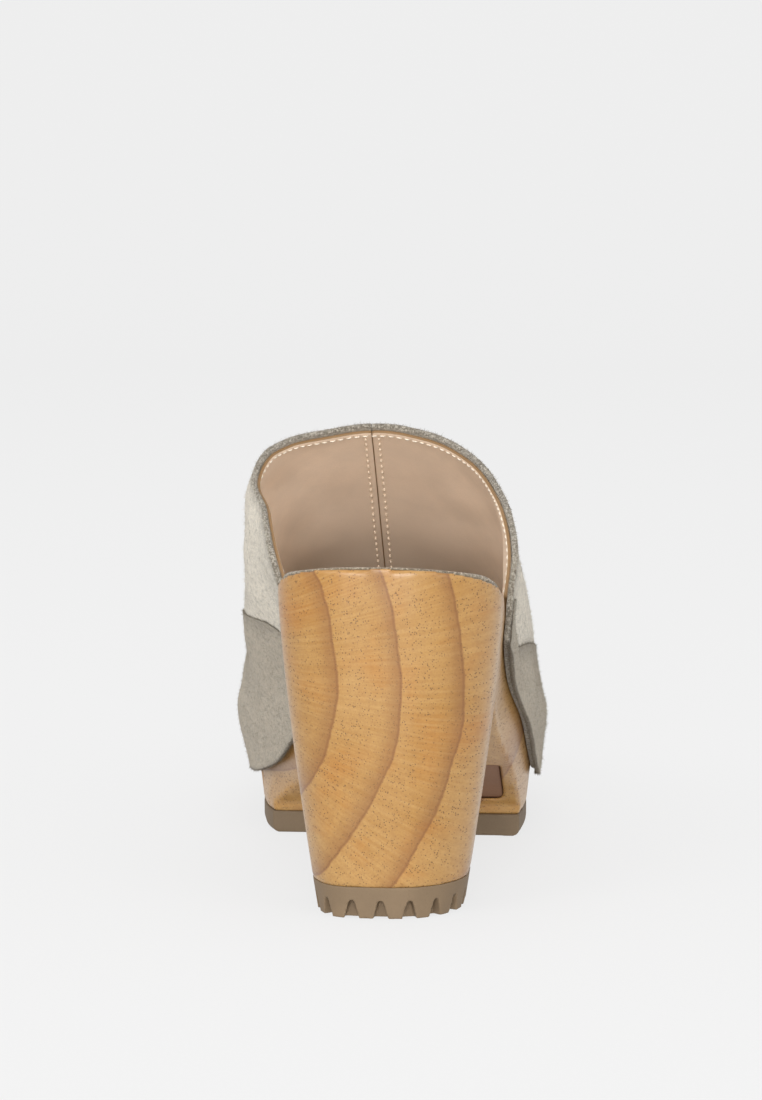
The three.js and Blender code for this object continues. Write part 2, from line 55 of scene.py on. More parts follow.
# The shapes below are worked out in millimetres from the back of the heel, then moved into the frame.
heelLow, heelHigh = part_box("heel_tread")
originX = (heelLow.x + heelHigh.x) / 2
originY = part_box("wood_rear")[0].y

clog = {
    "length": 236, "heelHeight": 97, "seatWidth": 61.8, "seatRound": 28,
    "ballLateral": 34.6, "ballMedial": 55, "platform": 29.5, "toeSpring": 7,
    "heelBaseInset": 9.6, "heelBackLean": 5.5, "heelBaseLength": 33, "soleThickness": 24,
    "heelTread": 8.3, "frontTread": 6.2, "footbedCup": 2.5, "upperHeight": 75,
    "suede": 1.7, "lining": 1.0, "overlay": 1.4, "margin": 12, "glue": 0.25, "plyGap": 0.2,
    "toeX": -14, "kerfAngle": 16, "kerf": 0.8,
}
length = clog["length"]
seatHalf = clog["seatWidth"] / 2
rise = clog["heelHeight"] - clog["platform"]
under = clog["frontTread"] + clog["glue"]
ball = 0.64 * length
treadStart, treadEnd = 0.54 * length, 0.9 * length
upperBack, throat = 0.2 * length, 0.445 * length


def toFrame(points):  # millimetres from the heel -> metres in the frame
    return np.asarray(points, float) * mm + np.array([originX, originY, 0.0])


def curve(points):  # a curve through (at, value) points that lies level where they turn back
    at = np.array([p[0] for p in points], float)
    value = np.array([p[1] for p in points], float)
    rate = np.diff(value) / np.diff(at)
    slope = np.concatenate([rate[:1], np.zeros(len(at) - 2), rate[-1:]])
    for i in range(1, len(at) - 1):
        a, b = rate[i - 1], rate[i]
        slope[i] = 0 if a * b <= 0 else 2 * a * b / (a + b)

    def read(x):
        x = np.clip(np.asarray(x, float), at[0], at[-1])
        i = np.clip(np.searchsorted(at, x, side="left") - 1, 0, len(at) - 2)
        span = at[i + 1] - at[i]
        t = (x - at[i]) / span
        return ((2 * t**3 - 3 * t**2 + 1) * value[i] + (t**3 - 2 * t**2 + t) * span * slope[i]
                + (3 * t**2 - 2 * t**3) * value[i + 1] + (t**3 - t**2) * span * slope[i + 1])
    return read


def along(points):
    return curve([(share * length, value) for share, value in points])


def unit(v):
    return v / np.maximum(np.linalg.norm(v, axis=-1, keepdims=True), 1e-6)


def smooth(x, low, high):
    t = np.clip((np.asarray(x, float) - low) / (high - low), 0, 1)
    return t * t * (3 - 2 * t)


heelHeight, platform, toeSpring = clog["heelHeight"], clog["platform"], clog["toeSpring"]
footbed = along([
    (0, heelHeight), (0.1, heelHeight - 0.125 * rise), (0.2, heelHeight - 0.265 * rise),
    (0.4, heelHeight - 0.655 * rise), (0.53, heelHeight - 0.89 * rise), (0.64, platform + 0.6),
    (0.74, platform), (0.86, platform + 0.3 * toeSpring), (1, platform + toeSpring),
])
widen = clog["ballMedial"] - seatHalf
medialSide = along([
    (0.1, seatHalf), (0.19, seatHalf), (0.28, seatHalf - 0.4), (0.38, seatHalf + 0.12 * widen),
    (0.49, seatHalf + 0.45 * widen), (0.59, seatHalf + 0.78 * widen), (0.68, clog["ballMedial"]),
    (1, clog["ballMedial"]),
])
lateralSide = along([(0.1, seatHalf), (0.19, seatHalf), (0.32, seatHalf + 0.3),
                     (0.45, seatHalf + 0.6 * (clog["ballLateral"] - seatHalf)),
                     (0.62, clog["ballLateral"]), (1, clog["ballLateral"])])
toeStart = {-1: 0.68 * length, 1: 0.62 * length}


outline = {"seatPower": {-1: 2.9, 1: 2.2}, "toeBend": {-1: 2.5, 1: 2.0}, "toePower": 2.1}


def edgeAt(side, y):  # x of the sole's outline
    y = np.clip(np.asarray(y, float), 0, length)
    power = outline["seatPower"][side]
    back = seatHalf * (1 - np.clip(1 - y / clog["seatRound"], 0, 1) ** power) ** (1 / power)
    full = lateralSide(y) if side > 0 else -medialSide(y)
    share = np.clip((y - toeStart[side]) / (length - toeStart[side]), 0, 1)
    taper = (1 - share ** outline["toeBend"][side]) ** (1 / outline["toePower"])
    toe = clog["toeX"] + (full - clog["toeX"]) * taper
    return np.where(y < clog["seatRound"], side * back, np.where(y > toeStart[side], toe, full))


drawIn = {
    "seatEdge": 9, "heelFoot": 8, "heelPower": 1.3,
    "front": {-1: 5.6, 1: 2.6}, "frontLimit": 1.6, "corner": 0.75,
}


def inset(side, y, z):  # how far the side of the wood has drawn in at height z
    fall = (heelHeight - drawIn["seatEdge"] - z) / (heelHeight - drawIn["seatEdge"] - drawIn["heelFoot"])
    heel = clog["heelBaseInset"] * np.clip(fall, 0, None) ** drawIn["heelPower"]
    depth = np.clip(footbed(y) - z, 0, None) / (platform - under)
    front = drawIn["front"][side] * np.minimum(depth, drawIn["frontLimit"])
    if side < 0:  # the rear corner of the front block stands fuller at its foot
        near = (1 - smooth(z, 8, 20)) * (1 - smooth(y, 132, 165)) * smooth(y, 105, 122)
        front = front * (1 - drawIn["corner"] * near)
    share = smooth(y, 0.2 * length, 0.45 * length)
    return heel * (1 - share) + front * share


def outlinePoint(side, y, inward, z):
    y, inward, z = np.broadcast_arrays(np.asarray(y, float), inward, z)
    low, high = np.maximum(y - 0.4, 0), np.minimum(y + 0.4, length)
    run, over = high - low, edgeAt(side, high) - edgeAt(side, low)
    size = np.hypot(run, over)
    outX, outY = run / size * side, -over / size * side
    outX = np.where((y <= 0) | (y >= length), 0, outX)
    outY = np.where(y <= 0, -1, np.where(y >= length, 1, outY))
    drawn = inset(side, y, z) + inward
    steeper = clog["heelBackLean"] / clog["heelBaseInset"] - 1
    lean = np.where(y < clog["seatRound"], 1 + steeper * outY**2, 1)
    return np.stack([edgeAt(side, y) - outX * drawn, y - outY * drawn * lean, z], -1)


upperHeight = clog["upperHeight"]
apexHeight = along([
    (0.15, platform + 1.62 * upperHeight), (0.32, platform + 1.47 * upperHeight),
    (0.445, platform + 1.3 * upperHeight), (0.55, platform + 1.08 * upperHeight),
    (0.66, platform + 0.8 * upperHeight), (0.78, platform + 0.52 * upperHeight),
    (0.9, platform + 0.33 * upperHeight), (0.97, platform + 0.24 * upperHeight),
    (1, platform + toeSpring + 4),
])
apexX = along([(0.2, -8), (0.34, -10), (0.445, -12), (0.66, -13), (1, clog["toeX"])])
bulge = {
    1: along([(0.2, 1), (0.3, 3), (0.45, 4), (0.6, 2.5), (0.75, 1.5), (1, 0.8)]),
    -1: along([(0.2, 3), (0.27, 9), (0.36, 15.5), (0.45, 13.5), (0.58, 5.5), (0.68, 2.5), (0.8, 1.5),
               (1, 0.8)]),
}
shoulderRise = {
    1: along([(0.2, 0.8), (1, 0.8)]),
    -1: along([(0.2, 0.83), (0.45, 0.83), (0.7, 0.81), (1, 0.8)]),
}
margin = clog["margin"]
lap = {
    1: along([(0.2, 0.75 * margin), (0.45, 0.75 * margin), (0.64, 1.2 * margin), (1, 1.2 * margin)]),
    -1: along([(0.2, 0.8 * margin), (0.42, 1.35 * margin), (0.64, 1.2 * margin), (1, 1.2 * margin)]),
}
reach = throat - upperBack
topline = curve([(-1, upperBack + 1), (0, upperBack), (0.15, upperBack + 3), (0.32, upperBack + 0.25 * reach),
                 (0.5, upperBack + 0.58 * reach), (0.7, upperBack + 0.86 * reach),
                 (0.86, upperBack + 0.98 * reach), (1, throat)])
panelTop = {
    1: along([(0.225, 82), (0.25, 74), (0.3, 66), (0.45, 62), (0.6, 55), (0.8, 46), (1, 46)]),
    -1: along([(0.225, 78), (0.25, 69), (0.3, 67), (0.36, 71), (0.46, 71), (0.6, 60), (0.8, 46), (1, 46)]),
}


def archControls(y):  # eleven points across the upper at y, from the medial to the lateral foot
    out = clog["glue"] + clog["suede"]
    low, high = footbed(y), apexHeight(y)
    toe = np.clip((y - 0.8 * length) / (0.2 * length), 0, None) ** 3
    apex = np.stack([apexX(y), y + out * toe, high], -1)

    def half(side):
        foot = outlinePoint(side, y, -out, low)
        flare = outlinePoint(side, y, -out - bulge[side](y), low)

        def place(toApex, up):
            spot = flare + (apex - flare) * toApex
            spot[..., 2] = low + (high - low) * up
            return spot
        shoulder = place(0.34, shoulderRise[side](y))
        return [foot, place(0, 0.27), place(0.1, 0.56), shoulder, place(0.66, 0.955)]
    return np.stack([*half(-1), apex, *half(1)[::-1]], -2)


# how far the suede stands in (-) or out (+) at each height, from the seat to the ball
trim = {
    -1: curve([(28, 0), (34, -1.6), (39, -3), (46, -3.9), (54, -4.2), (62, -4.4), (74, -3.9), (86, -2.6),
               (92, -1), (98, 0.4), (104, 2.2), (110, 3.6), (116, 3.9), (121, 4.2), (130, 4.2)]),
    1: curve([(28, 0), (34, -1.4), (39, -2.6), (46, -3.6), (54, -4), (62, -4.1), (74, -4.2), (86, -4.1),
              (92, -3.4), (98, -2.4), (104, -1.9), (110, -1.2), (116, -0.9), (130, 0)]),
}


def archPoint(side, y, height):
    point = archSpline(side, y, height)
    share = smooth(y, 50, 78) * (1 - smooth(y, 150, 200)) * smooth(height, 0, 0.16)
    share = share * smooth(np.abs(point[..., 0] - apexX(y)), 3, 20)
    point[..., 0] += side * trim[side](point[..., 2]) * share
    return point


def archSpline(side, y, height):  # centripetal Catmull-Rom through the control points
    control = archControls(y)
    t = np.where(side < 0, 0.5 * height, 1 - 0.5 * height) * 10
    i = np.clip(np.floor(t).astype(int), 0, 9)
    w = (t - i)[..., None]

    def take(k):
        return np.take_along_axis(control, np.clip(k, 0, 10)[..., None, None].repeat(3, -1), -2)[..., 0, :]
    p1, p2 = take(i), take(i + 1)
    p0 = np.where((i == 0)[..., None], 2 * p1 - p2, take(i - 1))
    p3 = np.where((i == 9)[..., None], 2 * p2 - p1, take(i + 2))
    pairs = ((p0, p1), (p1, p2), (p2, p3))
    d0, d1, d2 = (np.maximum(((b - a) ** 2).sum(-1, keepdims=True), 1e-8) ** 0.25 for a, b in pairs)
    m1 = ((p1 - p0) / d0 - (p2 - p0) / (d0 + d1) + (p2 - p1) / d1) * d1
    m2 = ((p2 - p1) / d1 - (p3 - p1) / (d1 + d2) + (p3 - p2) / d2) * d1
    return ((2 * w**3 - 3 * w**2 + 1) * p1 + (w**3 - 2 * w**2 + w) * m1
            + (3 * w**2 - 2 * w**3) * p2 + (w**3 - w**2) * m2)


def facePoint(side, y, height):  # the suede's outer face: height -1 lower edge, 0 footbed, 1 apex
    y, height = np.broadcast_arrays(np.asarray(y, float), np.asarray(height, float))
    z = footbed(y) + np.minimum(height, 0) * lap[side](y)
    skirt = outlinePoint(side, y, -clog["glue"] - clog["suede"], z)
    return np.where((height < 0)[..., None], skirt, archPoint(side, y, np.maximum(height, 0)))


def faceNormal(side, y, height):
    before, after = np.maximum(y - 0.6, 0), np.minimum(y + 0.6, length)
    forward = facePoint(side, after, height) - facePoint(side, before, height)
    above, below = np.minimum(height + 0.02, 1), np.maximum(height - 0.02, -1)
    upward = facePoint(side, y, above) - facePoint(side, y, below)
    return unit(np.cross(forward, upward) * side)


def upperPoint(side, y, height, depth, gap):  # a point at that depth under the outer face
    y, height = np.broadcast_arrays(np.asarray(y, float), np.asarray(height, float))
    point = facePoint(side, y, height) - faceNormal(side, y, height) * np.asarray(depth)[..., None]
    seam = side * apexX(point[..., 1]) + gap / 2
    hold = (height >= 1) | (y >= length) | (side * point[..., 0] < seam)
    point[..., 0] = np.where(hold, side * seam, point[..., 0])
    return point


# mesh helpers
def makeMesh(name, vertices, faces, smoothShade=True):
    mesh = bpy.data.meshes.new(name)
    mesh.from_pydata([tuple(v) for v in toFrame(vertices)], [], [tuple(int(i) for i in f) for f in faces])
    mesh.validate()
    mesh.update()
    if smoothShade:
        mesh.polygons.foreach_set("use_smooth", [True] * len(mesh.polygons))
    piece = bpy.data.objects.new(name, mesh)
    bpy.context.scene.collection.objects.link(piece)
    return piece


def gridFaces(rows, columns, start=0, flip=False):
    faces = []
    for i in range(rows - 1):
        for j in range(columns - 1):
            a = start + i * columns + j
            quad = (a, a + 1, a + columns + 1, a + columns)
            faces.append(quad[::-1] if flip else quad)
    return faces


rimOut = 0.5  # how far a sheet's rim bulges, as a share of half its thickness


def shell(name, outer, inner, flip, rimSteps):  # a sheet with thickness and a rounded rim
    rows, columns = outer.shape[:2]
    count = rows * columns
    vertices = [outer.reshape(-1, 3), inner.reshape(-1, 3)]
    faces = gridFaces(rows, columns, 0, flip) + gridFaces(rows, columns, count, not flip)
    border = [(0, j) for j in range(columns)] + [(i, columns - 1) for i in range(1, rows)]
    border += [(rows - 1, j) for j in range(columns - 2, -1, -1)] + [(i, 0) for i in range(rows - 2, 0, -1)]
    inside = [(min(max(i, 1), rows - 2), min(max(j, 1), columns - 2)) for i, j in border]
    top = np.array([outer[i, j] for i, j in border])
    low = np.array([inner[i, j] for i, j in border])
    away = unit(top - np.array([outer[i, j] for i, j in inside]))
    middle, half = (top + low) / 2, (top - low) / 2
    thick = np.linalg.norm(half, axis=1, keepdims=True)
    ids = [[i * columns + j for i, j in border]]
    at = 2 * count
    for k in range(1, rimSteps):
        a = math.pi * k / rimSteps
        vertices.append(middle + math.cos(a) * half + math.sin(a) * rimOut * thick * away)
        ids.append(list(range(at, at + len(border))))
        at += len(border)
    ids.append([count + i * columns + j for i, j in border])
    for upperRing, lowerRing in zip(ids, ids[1:]):
        for k in range(len(border)):
            n = (k + 1) % len(border)
            quad = (upperRing[k], lowerRing[k], lowerRing[n], upperRing[n])
            faces.append(quad[::-1] if flip else quad)
    piece = makeMesh(name, np.concatenate(vertices), faces)
    raw = np.ones(len(piece.data.vertices))  # 1 on the cut edge, fading over the face
    fromEdge = np.minimum.reduce(np.broadcast_arrays(
        np.arange(rows)[:, None], rows - 1 - np.arange(rows)[:, None],
        np.arange(columns)[None, :], columns - 1 - np.arange(columns)[None, :]))
    raw[:count] = raw[count:2 * count] = np.clip(0.7 - 0.3 * fromEdge, 0, 1).ravel()
    piece.data.attributes.new("raw", "FLOAT", "POINT").data.foreach_set("value", raw)
    return piece


def applyModifiers(piece):
    bpy.context.view_layer.update()
    graph = bpy.context.evaluated_depsgraph_get()
    fresh = bpy.data.meshes.new_from_object(piece.evaluated_get(graph))
    piece.modifiers.clear()
    piece.data = fresh


def cut(piece, tool):
    step = piece.modifiers.new("cut", "BOOLEAN")
    step.operation, step.solver, step.object = "DIFFERENCE", "EXACT", tool
    applyModifiers(piece)
    bpy.data.objects.remove(tool)


def block(name, points):  # a solid between two outlines, the first half of the points and the second
    n = len(points) // 2
    faces = [tuple(range(n)), tuple(range(2 * n - 1, n - 1, -1))]
    faces += [(i, i + n, (i + 1) % n + n, (i + 1) % n) for i in range(n)]
    piece = makeMesh(name, points, faces, False)
    outward(piece)
    return piece


def prism(name, points, half=80, x=0):  # a side profile in (y, z) carried right across
    return block(name, [(x + side * half, y, z) for side in (-1, 1) for y, z in points])


def outward(piece):
    work = bmesh.new()
    work.from_mesh(piece.data)
    bmesh.ops.recalc_face_normals(work, faces=work.faces)
    work.to_mesh(piece.data)
    work.free()


def ringLoft(name, rings):  # a solid through rings of points, closed at both ends
    count = len(rings[0])
    vertices = np.concatenate(rings)
    faces = []
    for r in range(len(rings) - 1):
        for i in range(count):
            a, b = r * count + i, r * count + (i + 1) % count
            faces.append((a, b, b + count, a + count))
    faces.append(tuple(range(count - 1, -1, -1)))
    faces.append(tuple((len(rings) - 1) * count + i for i in range(count)))
    piece = makeMesh(name, vertices, faces)
    outward(piece)
    return piece


def outlineRing(z, inward=0.0, start=0.0, stop=length, steps=70):  # its points crowd towards the round ends
    back = clog["seatRound"] * (1 - np.cos(np.linspace(0, np.pi / 2, 24)))
    toe = toeStart[1] + (length - toeStart[1]) * np.sin(np.linspace(0, np.pi / 2, 34))
    stations = np.concatenate([back, np.linspace(clog["seatRound"], toeStart[1], steps)[1:-1], toe])
    kept = stations[(stations > start + 0.3) & (stations < stop - 0.3)]
    medial = np.concatenate([[] if stop == length else [stop], kept[::-1], [start]])
    lateral = np.concatenate([[] if start == 0 else [start], kept, [stop]])
    return np.concatenate([outlinePoint(-1, medial, inward, z), outlinePoint(1, lateral, inward, z)])


print("shapes ready")


# camera and lamps
view = {"distance": 1011, "turn": 4.73, "height": 220.2, "pitch": 6.675, "lens": 124.6, "aside": -0.6}


def placeCamera():
    turn, tilt = math.radians(view["turn"]), math.radians(view["pitch"])
    x = view["aside"] * math.cos(turn) + view["distance"] * math.sin(turn)
    y = view["aside"] * math.sin(turn) - view["distance"] * math.cos(turn)
    data = bpy.data.cameras.new("camera")
    data.sensor_fit, data.sensor_height, data.sensor_width = "VERTICAL", 36, 36
    data.lens, data.clip_start, data.clip_end = view["lens"], 0.01, 50
    camera = bpy.data.objects.new("camera", data)
    camera.location = toFrame([x, y, view["height"]])
    camera.rotation_euler = (math.pi / 2 - tilt, 0, turn)
    bpy.context.scene.collection.objects.link(camera)
    bpy.context.scene.camera = camera


def softLight(name, place, aim, width, watts):
    data = bpy.data.lights.new(name, "AREA")
    data.shape, data.size, data.energy = "DISK", width, watts
    lamp = bpy.data.objects.new(name, data)
    lamp.location = place
    lamp.rotation_euler = (Vector(aim) - Vector(place)).to_track_quat("-Z", "Y").to_euler()
    bpy.context.scene.collection.objects.link(lamp)


def tint(red, green, blue):  # screen colour out of 255 -> linear
    def channel(c):
        c /= 255
        return c / 12.92 if c <= 0.04045 else ((c + 0.055) / 1.055) ** 2.4
    return (channel(red), channel(green), channel(blue), 1.0)


def shade(colour, share):  # the same hue, darker under 1 and lighter over it
    return tuple(min(c * share, 1) for c in colour[:3]) + (1,)


# shader helpers
class Wire:
    def __init__(self, paint, socket):
        self.paint, self.socket = paint, socket
        self.isVector = socket.type in ("VECTOR", "RGBA")

    def sum(self, operation, first, second):
        if any(isinstance(v, Wire) and v.isVector for v in (first, second)):
            wide = [(v,) * 3 if isinstance(v, (int, float)) else v for v in (first, second)]
            return self.paint.node("ShaderNodeVectorMath", {"operation": operation}, {0: wide[0], 1: wide[1]})
        return self.paint.node("ShaderNodeMath", {"operation": operation}, {0: first, 1: second})

    def __add__(self, other):
        return self.sum("ADD", self, other)

    def __radd__(self, other):
        return self.sum("ADD", other, self)

    def __sub__(self, other):
        return self.sum("SUBTRACT", self, other)

    def __rsub__(self, other):
        return self.sum("SUBTRACT", other, self)

    def __mul__(self, other):
        return self.sum("MULTIPLY", self, other)

    def __rmul__(self, other):
        return self.sum("MULTIPLY", other, self)

    def __truediv__(self, other):
        return self.sum("DIVIDE", self, other)

    def __pow__(self, other):
        return self.sum("POWER", self, other)


class Paint:  # one material and its nodes
    def __init__(self, name):
        self.material = bpy.data.materials.new(name)
        self.material.use_nodes = True
        self.tree = self.material.node_tree
        self.tree.nodes.clear()
        self.out = self.tree.nodes.new("ShaderNodeOutputMaterial")

    def plug(self, socket, value):
        if isinstance(value, Wire):
            self.tree.links.new(value.socket, socket)
        else:
            socket.default_value = value

    def node(self, kind, settings=None, inputs=None, output=0):
        made = self.tree.nodes.new(kind)
        for key, value in (settings or {}).items():
            if key == "stops":
                self.setStops(made.color_ramp, value)
            else:
                setattr(made, key, value)
        for key, value in (inputs or {}).items():
            self.plug(self.find(made.inputs, key), value)
        return Wire(self, self.find(made.outputs, output))

    def find(self, sockets, key):  # by place, by name or, where names repeat, by identifier
        for socket in sockets:
            if socket.identifier == key:
                return socket
        return sockets[key]

    def setStops(self, ramp, stops):
        while len(ramp.elements) < len(stops):
            ramp.elements.new(0.5)
        for element, (place, colour) in zip(ramp.elements, stops):
            element.position, element.color = place, colour

    def place(self):  # where the point lay before any bending, in millimetres from the heel
        return self.node("ShaderNodeAttribute", {"attribute_name": "rest"}, output="Vector")

    def split(self, vector):
        made = self.node("ShaderNodeSeparateXYZ", None, {0: vector})
        return [Wire(self, socket) for socket in made.socket.node.outputs]

    def join(self, x, y, z):
        return self.node("ShaderNodeCombineXYZ", None, {0: x, 1: y, 2: z})

    def stretch(self, vector, x, y, z):
        return self.node("ShaderNodeMapping", None, {"Vector": vector, "Scale": (x, y, z)})

    def noise(self, vector, scale=1.0, detail=3.0, roughness=0.55):
        return self.node("ShaderNodeTexNoise", None,
                         {"Vector": vector, "Scale": scale, "Detail": detail, "Roughness": roughness})

    def dots(self, vector, scale=1.0):
        return self.node("ShaderNodeTexVoronoi", None, {"Vector": vector, "Scale": scale}, "Distance")

    def ramp(self, value, low, high, start=0.0, end=1.0):
        return self.node("ShaderNodeMapRange", {"interpolation_type": "SMOOTHSTEP"},
                         {"Value": value, "From Min": low, "From Max": high, "To Min": start, "To Max": end})

    def mix(self, share, first, second):
        return self.node("ShaderNodeMix", {"data_type": "RGBA"},
                         {"Factor_Float": share, "A_Color": first, "B_Color": second}, "Result_Color")

    def math(self, operation, *values):
        return self.node("ShaderNodeMath", {"operation": operation}, dict(enumerate(values)))

    def bump(self, height, strength, distance):
        return self.node("ShaderNodeBump", None,
                         {"Height": height, "Strength": strength, "Distance": distance})

    def finish(self, **sockets):
        shader = self.tree.nodes.new("ShaderNodeBsdfPrincipled")
        for key, value in sockets.items():
            self.plug(shader.inputs[key.replace("_", " ")], value)
        self.tree.links.new(shader.outputs[0], self.out.inputs[0])
        return self.material


# finishes
wood = {
    "pale": tint(168, 129, 74), "honey": tint(158, 115, 54), "amber": tint(164, 107, 38),
    "glint": tint(184, 148, 92), "dark": tint(112, 68, 36), "pore": tint(58, 33, 16),
    "log": (-72, 67), "rings": 17.2, "firstRing": 60, "gloss": 0.34,
}
suede = {
    "vamp": tint(210, 202, 187), "panel": tint(171, 160, 142), "insole": tint(190, 178, 158),
    "nap": 0.75, "mottle": 0.25, "speckle": 0.7,
}
rubber = {"heel": tint(112, 93, 70), "front": tint(102, 85, 64)}


def woodFinish(name):
    paint = Paint(name)
    place = paint.place()
    x, y, z = paint.split(place)
    slow = paint.stretch(place, 0.03, 0.006, 0.03)
    wander = (paint.noise(slow, 1, 2) - 0.5) * 6
    ripple = (paint.noise(paint.stretch(place, 0.3, 0.012, 0.3), 1, 3) - 0.5) * 0.9
    across = x - wood["log"][0] + y * 0.02
    up = z - wood["log"][1] - y * 0.015
    radius = paint.math("SQRT", across * across + up * up)
    ring = (radius + wander + ripple - wood["firstRing"]) / wood["rings"] + 20
    part = paint.math("FRACT", ring)
    late = paint.ramp(part, 0.5, 0.97) ** 2.2 * paint.ramp(part, 0.965, 1.0, 1, 0)
    line = paint.ramp(part, 0.93, 0.965) * paint.ramp(part, 0.965, 1.0, 1, 0)
    angle = paint.math("ARCTAN2", up, across)
    fibre = paint.noise(paint.stretch(place, 1.6, 0.035, 1.6), 1, 4, 0.7)
    ray = paint.noise(paint.join(radius * 0.045, angle * 78, y * 0.05), 1, 3, 0.6)
    cloud = paint.noise(paint.stretch(place, 0.035, 0.012, 0.022), 1, 3)
    poreSpace = paint.stretch(place, 1.5, 0.17, 1.3)
    pores = paint.ramp(paint.dots(poreSpace), 0.15, 0.34, 1, 0)
    pores = pores * paint.ramp(paint.noise(poreSpace, 0.3, 2), 0.38, 0.5)
    pores = pores * paint.ramp(part, 0.3, 0.95, 1, 0.5)
    streaks = paint.ramp(paint.noise(paint.stretch(place, 0.55, 0.02, 0.55), 1, 4), 0.35, 0.75)
    colour = paint.mix(paint.ramp(cloud, 0.3, 0.7), wood["pale"], wood["honey"])
    colour = paint.mix(paint.ramp(paint.noise(slow, 1.7, 3), 0.45, 0.7) * 0.6, colour, wood["amber"])
    colour = paint.mix(paint.ramp(ray, 0.35, 0.72) * 0.4, colour, wood["glint"])
    colour = paint.mix(paint.ramp(fibre, 0.3, 0.8) * 0.28, colour, wood["dark"])
    colour = paint.mix(streaks * 0.14, colour, wood["dark"])
    colour = paint.mix(late * 0.5, colour, wood["dark"])
    colour = paint.mix(line * 0.45, colour, wood["dark"])
    colour = paint.mix(pores * 0.7, colour, wood["pore"])
    rough = wood["gloss"] + paint.ramp(fibre, 0.3, 0.8) * 0.1 + pores * 0.15
    bump = paint.bump(fibre * 0.3 - pores, 0.25, 0.00012)
    return paint.finish(Base_Color=colour, Roughness=rough, Normal=bump, Coat_Weight=0.18,
                        Coat_Roughness=0.24, IOR=1.45)


def suedeFinish(name, colour, nap=1.0):
    paint = Paint(name)
    place = paint.place()
    brushed = paint.noise(paint.stretch(place, 0.09, 0.05, 0.12), 1, 4, 0.6)
    fine = paint.noise(place, 1.5, 4, 0.8)
    grit = paint.noise(place, 5.5, 2, 0.6)
    darker = shade(colour, 0.48)
    lighter = shade(colour, 1.5)
    coarse = paint.noise(place, 0.75, 4, 0.8)
    tone = paint.mix(paint.ramp(brushed, 0.3, 0.7) * 0.3, colour, lighter)
    tone = paint.mix(paint.ramp(coarse, 0.48, 0.58) * suede["speckle"], tone, darker)
    tone = paint.mix(paint.ramp(fine, 0.5, 0.6) * suede["nap"], tone, lighter)
    tone = paint.mix(paint.ramp(grit, 0.5, 0.62) * suede["mottle"] * 2, tone, darker)
    raw = paint.node("ShaderNodeAttribute", {"attribute_name": "raw"}, output="Fac")
    tone = paint.mix(raw * paint.ramp(fine, 0.4, 0.6, 1, 0.45), tone, tint(104, 95, 82))
    bump = paint.bump(fine + coarse * 0.8 + grit * 0.5, 0.9, 0.0005 * nap)
    return paint.finish(Base_Color=tone, Roughness=0.95, Normal=bump, Sheen_Weight=0.25, Sheen_Roughness=0.5,
                        Specular_IOR_Level=0.1)


def leatherFinish(name, colour, gloss=0.55):
    paint = Paint(name)
    place = paint.place()
    cells = paint.dots(place, 1.5)
    cloud = paint.noise(place, 0.045, 4, 0.6)
    fine = paint.noise(place, 2.5, 3, 0.7)
    darker = shade(colour, 0.72)
    lighter = shade(colour, 1.14)
    tone = paint.mix(paint.ramp(cloud, 0.3, 0.7), colour, lighter)
    tone = paint.mix(paint.ramp(fine, 0.45, 0.85) * 0.3, tone, darker)
    # painted shade: the lining is darkened deeper into the shoe towards the toe, where less light reaches
    # inside
    deep = paint.split(place)[1]
    tone = paint.mix(paint.ramp(deep, 108, 180) * 0.95, tone, darker)
    raw = paint.node("ShaderNodeAttribute", {"attribute_name": "raw"}, output="Fac")
    tone = paint.mix(paint.ramp(raw, 0.6, 0.9), tone, tint(128, 98, 62))
    bump = paint.bump(cells * 0.6 + fine, 0.3, 0.00012)
    return paint.finish(Base_Color=tone, Roughness=gloss + fine * 0.2, Normal=bump)


def rubberFinish(name, colour):
    paint = Paint(name)
    place = paint.place()
    speck = paint.noise(place, 3.2, 3, 0.75)
    cloud = paint.noise(place, 0.08, 3)
    darker = shade(colour, 0.6)
    lighter = shade(colour, 1.25)
    tone = paint.mix(paint.ramp(speck, 0.5, 0.8) * 0.5, colour, darker)
    tone = paint.mix(paint.ramp(cloud, 0.35, 0.7) * 0.5, tone, lighter)
    bump = paint.bump(speck, 0.35, 0.0001)
    return paint.finish(Base_Color=tone, Roughness=0.62 + speck * 0.2, Normal=bump)


def threadFinish(name, colour):
    paint = Paint(name)
    place = paint.place()
    twist = paint.noise(place, 6, 2)
    tone = paint.mix(paint.ramp(twist, 0.35, 0.7) * 0.5, colour, shade(colour, 0.6))
    return paint.finish(Base_Color=tone, Roughness=0.7, Normal=paint.bump(twist, 0.5, 0.00008))


def steelFinish(name):
    paint = Paint(name)
    place = paint.node("ShaderNodeTexCoord", output="Object")
    scuff = paint.noise(place, 900, 3, 0.7)
    return paint.finish(Base_Color=paint.mix(scuff, tint(150, 150, 148), tint(196, 196, 194)), Metallic=1.0,
                        Roughness=0.28 + scuff * 0.2, Normal=paint.bump(scuff, 0.2, 0.00005))


woodLook = woodFinish("varnishedWood")
vampLook = suedeFinish("paleSuede", suede["vamp"])
panelLook = suedeFinish("greySuede", suede["panel"])
rawLook = suedeFinish("rawSuede", tint(136, 126, 110))
insoleLook = suedeFinish("insoleSuede", suede["insole"], 0.6)
liningLook = leatherFinish("liningLeather", tint(231, 209, 187))
leafLook = leatherFinish("brownLeaf", tint(112, 78, 54), 0.6)
heelRubberLook = rubberFinish("heelRubber", rubber["heel"])
frontRubberLook = rubberFinish("frontRubber", rubber["front"])
paleThread = threadFinish("paleThread", tint(240, 230, 214))
tanThread = threadFinish("tanThread", tint(232, 212, 188))
greyThread = threadFinish("greyThread", tint(150, 141, 126))
steelLook = steelFinish("tackSteel")
print("finishes ready")


